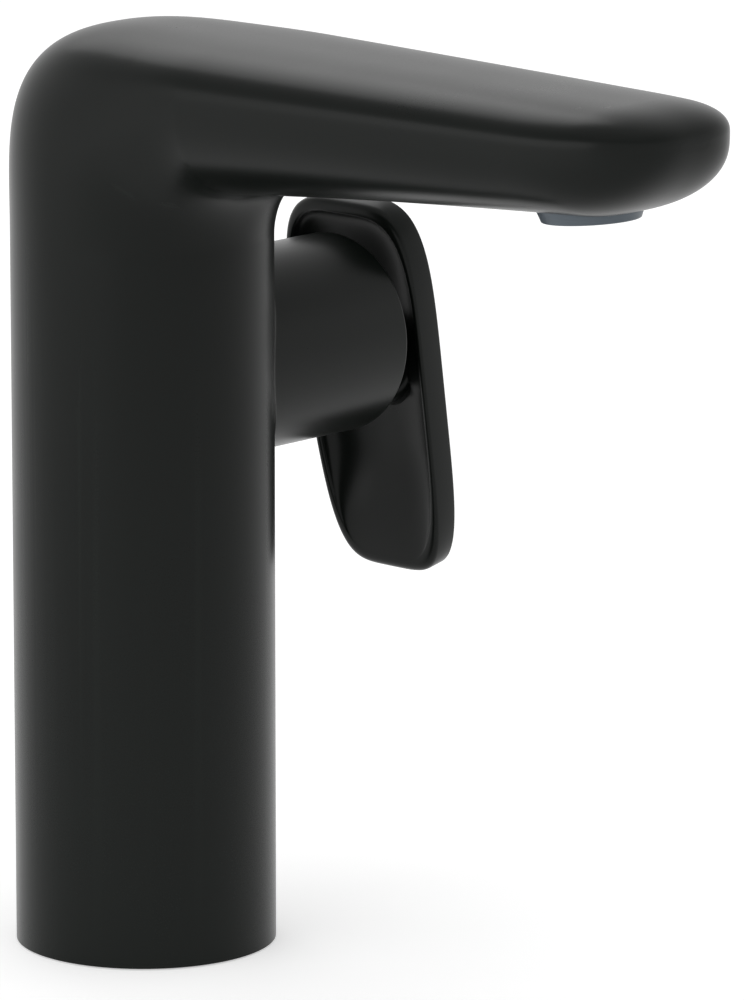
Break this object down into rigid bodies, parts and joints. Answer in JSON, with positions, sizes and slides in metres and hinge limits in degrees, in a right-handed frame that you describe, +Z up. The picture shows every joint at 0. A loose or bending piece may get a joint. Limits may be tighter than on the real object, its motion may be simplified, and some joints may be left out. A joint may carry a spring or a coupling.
{
  "type": "basin mixer",
  "caption": "Tall round basin mixer with a soft flat spout and a dished paddle lever on a side hub that lifts for flow and turns for temperature.",
  "frame": {"origin": "centre of the column on the deck, at the underside of the base gasket", "axes": "+Z up, spout towards -Y, hub and lever towards +X"},
  "size_m": [0.1102, 0.1784, 0.1967],
  "materials": {
    "matt_black": "satin black coating",
    "aerator_grey": "blue-grey, satin",
    "brass": "machined",
    "steel": "brushed",
    "rubber": "matt",
    "white_plastic": "moulded",
    "ceramic": "lapped ceramic"
  },
  "bodies": {
    "body": {"body_casting": "matt_black", "base_gasket": "rubber", "base_plate": "brass", "cold_tube": "steel", "hot_tube": "steel", "spout_tube": "steel", "valve_housing": "brass", "cold_port_seal": "rubber", "hot_port_seal": "rubber", "mixed_port_seal": "rubber", "cartridge_base": "white_plastic", "fixed_disc": "ceramic", "cartridge_case": "white_plastic", "cartridge_nut": "brass", "dome_ring": "matt_black", "aerator_housing": "aerator_grey", "aerator_screen": "steel", "aerator_core": "white_plastic", "aerator_gasket": "rubber"},
    "rotor": {"cartridge_rotor": "white_plastic", "stem_pin": "steel"},
    "lever": {"lever_handle": "matt_black", "stem": "steel", "grub_screw": "steel"},
    "disc": {"moving_disc": "ceramic", "disc_carrier": "white_plastic"}
  },
  "joints": [
    {"name": "lever_turn", "type": "hinge", "parent": "body", "child": "rotor", "pos_m": [0.03, 0, 0.122], "axis": [1, 0, 0], "range_deg": [-50, 50]},
    {"name": "lever_tilt", "type": "hinge", "parent": "rotor", "child": "lever", "pos_m": [0.03, 0, 0.122], "axis": [0, -1, 0], "range_deg": [0, 25]},
    {"name": "disc_slide", "type": "slide", "parent": "rotor", "child": "disc", "axis": [0, 0, -1], "range_m": [0, 0.0046]}
  ],
  "couplings": [
    {"joint": "disc_slide", "follows": "lever_tilt", "m_per_rad": 0.010417}
  ]
}
